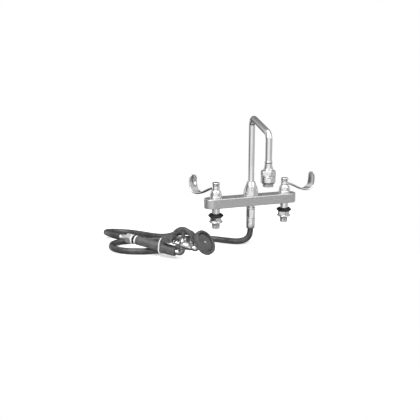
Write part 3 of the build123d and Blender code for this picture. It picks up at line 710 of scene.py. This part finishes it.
def add_swivel():
    """The tube, nut, flange and washer between the hose and the grip."""
    tube = [(3.2, -42), (6.8, -42), (7.4, -41.4), (7.4, -40.5), (6.8, -40), (6.0, -39.6), (5.8, -39)]
    tube += [(5.8, -31), (5.4, -30.5), (5.4, -29.6), (5.8, -29.1)]
    tube += [(5.8, -0.2), (4.8, 0), (4.8, 10), (3.2, 10)]
    finish_piece("swivel_pipe", lathe("swivel_pipe", tube), swivel_place, "faucet", "chrome", ["swivel_tube"])
    nut = lathe("swivel_hexagon", nut_profile(14.0, 5.9, -20, -5, 1.8), shape=hexagon(14.0), count=144)
    finish_piece("swivel_hexagon", nut, swivel_place, "faucet", "chrome", ["swivel_nut"], bevel=0.25)
    edge = [(5.9, -4.5), (11.4, -4.5), (12.4, -3.8), (12.6, -2.5), (12.4, -1.2), (11.4, -0.5), (5.9, -0.5)]
    flange = lathe("swivel_rim", edge)
    finish_piece("swivel_rim", flange, swivel_place, "faucet", "light_plastic", ["swivel_flange"], bevel=0.2)
    rim = [(5.25, 0.05), (10.7, 0.05), (11.2, 0.6), (11.0, 1.8), (11.2, 3.0), (10.7, 3.55), (5.25, 3.55)]
    seal = lathe("swivel_seal", rim)
    finish_piece("swivel_seal", seal, swivel_place, "faucet", "black_rubber", ["swivel_washer"])


def add_grip():
    """The grip's end ring, its sleeve and the collar in front."""
    ring = [(8.05, -2.45), (10.6, -2.45), (11.35, -1.7), (11.35, 1.7), (10.6, 2.45), (8.05, 2.45)]
    end = lathe("grip_end_ring", ring)
    finish_piece("grip_end_ring", end, grip_place, "faucet", "light_plastic", ["grip_ring"], bevel=0.2)
    sleeve = [(8.05, 2.55), (11.2, 2.55)]
    sleeve += smooth_profile([(11.7, 3.1), (11.95, 6), (11.8, 24), (11.8, 52), (11.95, 76)], 4)
    sleeve += [(11.7, 78.1), (8.05, 78.3)]
    cover = lathe("grip_cover", sleeve)
    finish_piece("grip_cover", cover, grip_place, "faucet", "grey_plastic", ["grip_sleeve"])
    flare = [(8.05, 78.6), (12.4, 78.6), (13.1, 79.3)]
    flare += smooth_profile([(13.35, 81), (13.3, 88), (13.15, 100), (13.05, 108), (12.6, 115)], 4)
    flare += [(12.0, 117), (11.2, 118), (8.05, 118)]
    cuff = lathe("grip_flare", flare)
    finish_piece("grip_flare", cuff, grip_place, "faucet", "grey_plastic", ["grip_collar"], bevel=0.2)


HOLD_RING = {"radius": 14.0, "straight": 6.5, "wire": 1.5}


def add_hold_ring():
    """The loose wire ring that holds the lever down."""
    low, high = (Vector(corner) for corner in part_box("hold_ring"))
    radius, wire_radius = HOLD_RING["radius"], HOLD_RING["wire"]
    path = []
    for step in range(SEGMENTS):
        angle = math.tau * step / SEGMENTS
        straight = HOLD_RING["straight"] if math.sin(angle) > 0 else -HOLD_RING["straight"]
        path.append(sideways * math.cos(angle) * radius + upward * (math.sin(angle) * radius + straight))
    rings = []
    for index, point in enumerate(path):
        heading = (path[(index + 1) % len(path)] - path[index - 1]).normalized()
        outward = heading.cross(forward).normalized()
        ring = []
        for step in range(14):
            angle = math.tau * step / 14
            ring.append(point + (outward * math.cos(angle) + forward * math.sin(angle)) * wire_radius)
        rings.append(ring)
    wire = skin("hold_loop", rings, closed=True)
    place = Matrix.Translation((low + high) / 2)
    finish_piece("hold_loop", wire, place, "hold_ring", "light_plastic", ["hold_ring"])


def plate(name, outline, half_width, shift=0.0):
    """A flat outline parallel to the valve's middle plane, in stations and heights, thickened sideways."""
    sides = (shift - half_width, shift + half_width)
    points = [(along, height, side) for side in sides for along, height in outline]
    count = len(outline)
    faces = [tuple(range(count))[::-1], tuple(range(count, 2 * count))]
    for index in range(count):
        after = (index + 1) % count
        faces.append((index, after, count + after, count + index))
    return mesh_from(name, points, faces)


side_place = Matrix((forward, upward, sideways)).transposed().to_4x4()
side_place.translation = valve_origin


def cast(name, parts, voxel, rounds):
    """Weld solids in the valve's own axes into one casting with softened inner corners."""
    joined = bmesh.new()
    for part in parts:
        joined.from_mesh(part)
    data = bpy.data.meshes.new(name)
    joined.to_mesh(data)
    joined.free()
    data.transform(Matrix.Scale(MM, 4))
    piece = bpy.data.objects.new(name, data)
    bpy.context.collection.objects.link(piece)
    remesh = piece.modifiers.new("weld", "REMESH")
    remesh.mode = "VOXEL"
    remesh.voxel_size = voxel * MM
    soften = piece.modifiers.new("soften", "SMOOTH")
    soften.factor = 0.5
    soften.iterations = rounds
    evaluated = piece.evaluated_get(bpy.context.evaluated_depsgraph_get())
    result = bpy.data.meshes.new_from_object(evaluated)
    bpy.data.objects.remove(piece)
    result.transform(Matrix.Scale(1 / MM, 4))
    result.name = name
    return result


def in_valve(mesh_data, place):
    """The mesh moved from its own axes into the valve's, in millimetres."""
    inverse = side_place.inverted() @ place
    inverse.translation = inverse.translation / MM
    mesh_data.transform(inverse)
    return mesh_data


def add_spray_body():
    """The cast body: the inlet elbow, the stem chamber, the barrel and the ears for the lever's pin."""
    stem = VALVE_STATIONS["stem"]
    elbow = rounded_path([Vector((104.5, 0, 0)), Vector((stem, 0, 0)), Vector((stem, 18, 0))], 9.0)
    parts = [swept("inlet", elbow, 7.3)]
    chamber = [(0, 12.5), (7.6, 13), (8.6, 14.4), (8.7, 16), (8.7, 34.8), (8.2, 35.9), (0, 35.9)]
    parts.append(in_valve(lathe("chamber", chamber, closed=False), stem_place))
    barrel = [(0, 124.2), (5, 124.2), (5, 129.6), (6, 130.8), (8.6, 132.6), (9.1, 134.6), (9.1, 156.4)]
    barrel += [(8.6, 158.6), (7.8, 161.8), (7.6, 163.2), (6.8, 163.7), (6.8, 165.3), (7.5, 165.8)]
    barrel += [(7.5, 172), (0, 172)]
    parts.append(in_valve(lathe("barrel", barrel, closed=False), barrel_place))
    ball = [(0, -7.5), *arc_points((0, 0), 7.5, -80, 80, 16), (0, 7.5)]
    parts.append(in_valve(lathe("ball", ball, closed=False), head_place))
    stub = [(0, -2), (6.1, -2), (6.1, 11.9), (0, 11.9)]
    parts.append(in_valve(lathe("stub", stub, closed=False), head_place))
    pin_at, pin_height = VALVE_STATIONS["pin"]
    ear = [(pin_at - 7.6, 22), (pin_at - 4.4, pin_height), (pin_at - 3.2, pin_height + 2.2)]
    ear += [(pin_at - 1.2, pin_height + 3.3), (pin_at + 1.2, pin_height + 3.3)]
    ear += [(pin_at + 3.2, pin_height + 2.2), (pin_at + 4.2, pin_height), (pin_at + 5.0, 26)]
    parts += [plate("ear", ear, 1.2, shift) for shift in (-6.5, 6.5)]
    body = cast("valve_casting", parts, 0.45, 4)
    finish_piece("valve_casting", body, side_place, "faucet", "chrome", ["spray_body"], smooth=60)
    plug = [(0, 108.1), (5.2, 108.1), (5.9, 108.7), (6.0, 109.6), (5.9, 110.5), (5.2, 111.1), (4.4, 111.5)]
    plug += [(4.4, 116.8), (5.2, 117.2), (5.9, 117.8), (6.0, 119.2), (5.9, 120.6), (5.0, 121.4)]
    plug += [(5.0, 124), (0, 124)]
    knob = lathe("plug_knob", plug, closed=False)
    finish_piece("plug_knob", knob, barrel_place, "faucet", "chrome", ["back_plug"], bevel=0.1)


def add_stem():
    """The stem's packing nut and the button that the lever presses."""
    outside = [(2.7, 31), (5.7, 31), (5.7, 36), (7.6, 36), (8.0, 36.5), (8.0, 38.0), (7.5, 38.6), (4.9, 38.6)]
    outside += [(4.6, 38.9), (4.6, 40.5), (4.2, 41), (2.7, 41)]
    nut = lathe("packing_nut", outside)
    finish_piece("packing_nut", nut, stem_place, "faucet", "chrome", ["stem_bonnet"], bevel=0.1)
    button = [(0, 16.8), (5.3, 16.8), (5.3, 19.3), (2.5, 19.5), (2.5, 43.0), (4.0, 43.5), (4.8, 44.6)]
    button += [(4.9, 46.0), (4.6, 46.5), (4.6, 47.1), (4.9, 47.6)]
    button += smooth_profile([(4.9, 48.5), (4.9, 57.0), (4.3, 60.1), (2.6, 62.1), (0.2, 62.6)], 4)
    stem = lathe("stem_button", button, closed=False)
    finish_piece("stem_button", stem, stem_place, "valve_stem", "grey_plastic", ["valve_stem"])


ARCH = {"centre": (136.0, 38.6), "outer": 31.0, "inner": 25.0, "half_width": 5.0}
BOSS = (101.0, 30.5)


def add_lever():
    """The squeeze lever: a channel over the grip, an arch over the stem and an eye round the pin."""
    middle, outer, inner = ARCH["centre"], ARCH["outer"], ARCH["inner"]
    band = arc_points(middle, outer, 187, 0, 44)
    band += [(166.6, 36.6), (165.4, 35.2), (163.4, 34.6), (161.0, 34.5), (159.0, 35.2)]
    band += [(157.8, 36.8), (157.6, 38.4), (158.2, 40.2), (159.4, 41.4)]
    band += arc_points(middle, inner, 8, 187, 38)
    arch = plate("lever_arch", band, ARCH["half_width"])
    finish_piece("lever_arch", arch, side_place, "squeeze_lever", "grey_plastic", bevel=1.0)
    web = [(80.5, 21.8), (80.5, 33.0), (81.5, 34.6), (88.0, 36.3), (96.0, 38.4), (104.0, 43.8), (109.8, 45.0)]
    web += [(111.0, 43.8), (111.0, 34.2), (107.5, 36.0), (107.5, 40.5), (104.0, 40.2), (96.0, 35.0)]
    web += [(88.0, 32.8), (83.0, 31.4), (83.0, 21.8)]
    roof = plate("lever_web", web, 10.9)
    finish_piece("lever_web", roof, side_place, "squeeze_lever", "grey_plastic", bevel=0.9)
    cheek = [(80.7, 20.6), (81.8, 20.2), (93.0, 20.0), (104.0, 21.2), (107.6, 23.4)]
    cheek += [(110.4, 29.4), (110.8, 32.6), (110.8, 43.8), (109.6, 44.7), (104.0, 43.6)]
    cheek += [(96.0, 38.2), (88.0, 36.1), (81.6, 34.4), (80.7, 33.2)]
    for name, shift in (("lever_cheek_near", 9.75), ("lever_cheek_far", -9.75)):
        replaced = ["squeeze_lever"] if shift > 0 else ()
        wall = plate(name, cheek, 1.25, shift)
        finish_piece(name, wall, side_place, "squeeze_lever", "grey_plastic", replaced, bevel=0.7)
    boss_place = axes(valve_point(*BOSS, 11.0), sideways, forward)
    ring = [(2.0, -0.2), (4.2, -0.2), (4.2, 0.7), (3.8, 1.15), (2.5, 1.2), (2.0, 0.8)]
    boss = lathe("lever_boss", ring, count=40)
    finish_piece("lever_boss", boss, boss_place, "squeeze_lever", "grey_plastic")
    # A thin black disc inside the boss's ring: painted shade in its hole, not a real part
    shade_disc_profile = [(0, 0.02), (2.0, 0.02), (2.0, 0.2), (0, 0.12)]
    recess = lathe("lever_boss_recess_painted_shade", shade_disc_profile, closed=False, count=32)
    finish_piece("lever_boss_recess_painted_shade", recess, boss_place, "squeeze_lever", "black_rubber")


def add_pin():
    """The lever's headed pin."""
    shaft = [(0, -9.4), (1.8, -9.35), (2.7, -9.0), (2.9, -8.5), (2.8, -8.0), (2.0, -7.9), (2.0, 7.9)]
    shaft += [(2.8, 8.0), (2.9, 8.5), (2.7, 9.0), (1.8, 9.35), (0, 9.4)]
    rivet = lathe("lever_rivet", shaft, closed=False, count=40)
    finish_piece("lever_rivet", rivet, pin_place, "faucet", "steel", ["lever_pin"])


def add_head():
    """The neck nut, the bell-shaped spray head, its face and the rubber bumper."""
    nut = lathe("head_hexagon", nut_profile(8.6, 6.2, 7.0, 12.0, 1.0), shape=hexagon(8.6), count=144)
    finish_piece("head_hexagon", nut, head_place, "faucet", "chrome", ["neck_nut"], bevel=0.15)
    bell = [(4.25, 12), (7.2, 12), (7.7, 12.5)]
    bell += smooth_profile([(8.0, 13.4), (9.4, 15.9), (14.8, 19.3), (21.2, 22.6), (27.3, 25.9)], 5)
    bell += [(27.3, 33.4), (25.2, 33.4), (24.6, 32.8), (24.6, 29), (13, 22), (4.25, 17)]
    shell = lathe("head_bell", bell, count=128)
    finish_piece("head_bell", shell, head_place, "faucet", "dark_rubber", ["spray_head"])
    face = [(1.6, 31.0), (24.3, 31.0), (24.3, 31.5), (22.9, 31.7), (22.6, 32.2), (22.5, 33.6), (21.9, 34.2)]
    face += [(12.0, 34.5), (1.6, 34.5)]
    plain = lathe("head_face", face, count=128)
    finish_piece("head_face", plain, head_place, "faucet", "dark_rubber", ["spray_face"])
    # A black ring laid at the bottom of the channel between face and bumper: painted shade in the groove, not
    # a real part
    groove = lathe("head_groove_painted_shade", [(22.7, 31.6), (25.3, 31.6), (25.3, 32.4), (22.7, 32.2)], count=128)
    finish_piece("head_groove_painted_shade", groove, head_place, "faucet", "black_rubber")
    bumper = [(27.5, 25.1), (29.4, 25.1)]
    outside = [(30.4, 25.5), (31.5, 27.4), (31.8, 30.4), (31.8, 34.6), (31.2, 37.0), (29.6, 38.4)]
    bumper += smooth_profile(outside, 5)
    bumper += [(27.8, 38.8), (26.4, 38.4), (25.4, 37.2), (25.1, 35.6), (25.1, 33.5), (27.5, 33.5)]
    cushion = lathe("head_bumper", bumper, count=128)
    finish_piece("head_bumper", cushion, head_place, "faucet", "dark_rubber", ["spray_bumper"])


# Stage and light

FLOOR_RADIUS = 0.55
FLOOR_CENTRE = (-0.12, 0.03)
FLOOR_GLOW = 0.35
WORLD_STRENGTH = 1.0

# How dark the studio is by the angle from the camera in radians, how much of that counts by the height of the
# direction, and how bright it is by height alone

AROUND = [
    (-3.14, 0.93),
    (-2.75, 0.9),
    (-2.5, 0.4),
    (-2.05, 0.4),
    (-1.85, 0.88),
    (-1.4, 0.84),
    (-1.05, 0.5),
    (-0.6, 0.12),
    (0.0, 0.05),
    (0.5, 0.12),
    (0.75, 0.5),
    (1.3, 0.52),
    (2.1, 0.45),
    (2.6, 0.75),
    (3.14, 0.93),
]
BAND = [(-1, 0.7), (-0.45, 1.0), (0.2, 1.0), (0.5, 0.8), (0.75, 0.5), (1, 0.1)]
UP_AND_DOWN = [(-1, 0.2), (-0.6, 0.18), (-0.4, 0.55), (-0.2, 1.0), (0.5, 1.0), (0.8, 0.8), (1, 0.75)]


def add_floor():
    """A plain pale round table under the hose."""
    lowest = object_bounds()[0][2]
    rim = circle(FLOOR_RADIUS, 0)
    points = [(x + FLOOR_CENTRE[0], y + FLOOR_CENTRE[1], lowest) for x, y, _ in rim]
    data = mesh_from("floor", points, [tuple(range(len(rim)))])
    floor = bpy.data.objects.new("floor", data)
    bpy.context.collection.objects.link(floor)
    look = Nodes("floor", grey(0.93), 0.0, 0.6)
    look.colours(look.noise(3), grey(0.92), grey(0.94))
    look.shader.inputs["Emission Color"].default_value = (1, 1, 1, 1)
    look.shader.inputs["Emission Strength"].default_value = FLOOR_GLOW
    data.materials.append(look.material)
    floor.visible_glossy = False


LIGHTS_AIM = Vector((-0.08, 0, 0))


def add_light(name, azimuth, elevation, distance, size, power):
    """A rectangular area light at an azimuth and elevation, aimed at the object."""
    data = bpy.data.lights.new(name, "AREA")
    data.shape = "RECTANGLE"
    data.size, data.size_y = size
    data.energy = power
    light = bpy.data.objects.new(name, data)
    towards = direction(azimuth, elevation)
    light.location = towards * distance + LIGHTS_AIM
    light.rotation_euler = towards.to_track_quat("Z", "Y").to_euler()
    bpy.context.collection.objects.link(light)


def world_ramp(tree, value, low, high, stops):
    """A grey for a value between low and high, from a list of values and greys."""
    spread = tree.nodes.new("ShaderNodeMapRange")
    spread.inputs["From Min"].default_value = low
    spread.inputs["From Max"].default_value = high
    ramp = tree.nodes.new("ShaderNodeValToRGB")
    places = [(at - low) / (high - low) for at, _ in stops]
    ramp.color_ramp.elements[0].position = places[0]
    ramp.color_ramp.elements[1].position = places[-1]
    for at in places[1:-1]:
        ramp.color_ramp.elements.new(at)
    for stop, (_, value_there) in zip(ramp.color_ramp.elements, stops):
        stop.color = (value_there, value_there, value_there, 1)
    tree.links.new(value, spread.inputs["Value"])
    tree.links.new(spread.outputs["Result"], ramp.inputs["Fac"])
    return ramp.outputs["Color"]


def add_world():
    """A studio that is white to the camera, and dark behind and below the object in reflections."""
    world = bpy.data.worlds.new("studio")
    bpy.context.scene.world = world
    world.use_nodes = True
    tree = world.node_tree
    tree.nodes.clear()
    place = tree.nodes.new("ShaderNodeTexCoord")
    turned = tree.nodes.new("ShaderNodeMapping")
    turned.vector_type = "POINT"
    turned.inputs["Rotation"].default_value = (0, 0, math.radians(90 - CAMERA_AZIMUTH))
    split = tree.nodes.new("ShaderNodeSeparateXYZ")
    around = tree.nodes.new("ShaderNodeMath")
    around.operation = "ARCTAN2"
    link = tree.links.new
    link(place.outputs["Generated"], turned.inputs["Vector"])
    link(turned.outputs["Vector"], split.inputs[0])
    link(split.outputs["Y"], around.inputs[0])
    link(split.outputs["X"], around.inputs[1])
    dark = tree.nodes.new("ShaderNodeMath")
    dark.operation = "MULTIPLY"
    light = tree.nodes.new("ShaderNodeMath")
    light.operation = "SUBTRACT"
    light.inputs[0].default_value = 1.0
    both = tree.nodes.new("ShaderNodeMath")
    both.operation = "MULTIPLY"
    link(world_ramp(tree, around.outputs[0], -3.1416, 3.1416, AROUND), dark.inputs[0])
    link(world_ramp(tree, split.outputs["Z"], -1, 1, BAND), dark.inputs[1])
    link(dark.outputs[0], light.inputs[1])
    link(light.outputs[0], both.inputs[0])
    link(world_ramp(tree, split.outputs["Z"], -1, 1, UP_AND_DOWN), both.inputs[1])
    seen = tree.nodes.new("ShaderNodeBackground")
    lit = tree.nodes.new("ShaderNodeBackground")
    path = tree.nodes.new("ShaderNodeLightPath")
    mix = tree.nodes.new("ShaderNodeMixShader")
    out = tree.nodes.new("ShaderNodeOutputWorld")
    lit.inputs["Strength"].default_value = WORLD_STRENGTH
    seen.inputs["Color"].default_value = (1, 1, 1, 1)
    link(both.outputs[0], lit.inputs["Color"])
    link(path.outputs["Is Camera Ray"], mix.inputs[0])
    link(lit.outputs[0], mix.inputs[1])
    link(seen.outputs[0], mix.inputs[2])
    link(mix.outputs[0], out.inputs["Surface"])


add_camera()
add_hose()
dress_cad_nodes()
for side, x in SIDES.items():
    add_shank(side, x)
    add_valve(side, x)
    add_handle(side, x)
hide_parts("deck_gaskets")
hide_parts("locknuts")
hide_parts("bonnet_rings")
add_spout()
add_coupling()
add_swivel()
add_grip()
add_hold_ring()
add_spray_body()
add_stem()
add_lever()
add_pin()
add_head()
add_floor()
add_light("key", -62, 48, 1.6, (1.0, 1.0), 12)
add_light("fill", 40, 40, 1.8, (0.8, 1.0), 6)
add_light("top", 0, 86, 1.6, (1.2, 1.2), 10)
add_world()
bpy.context.scene.view_settings.view_transform = "Standard"
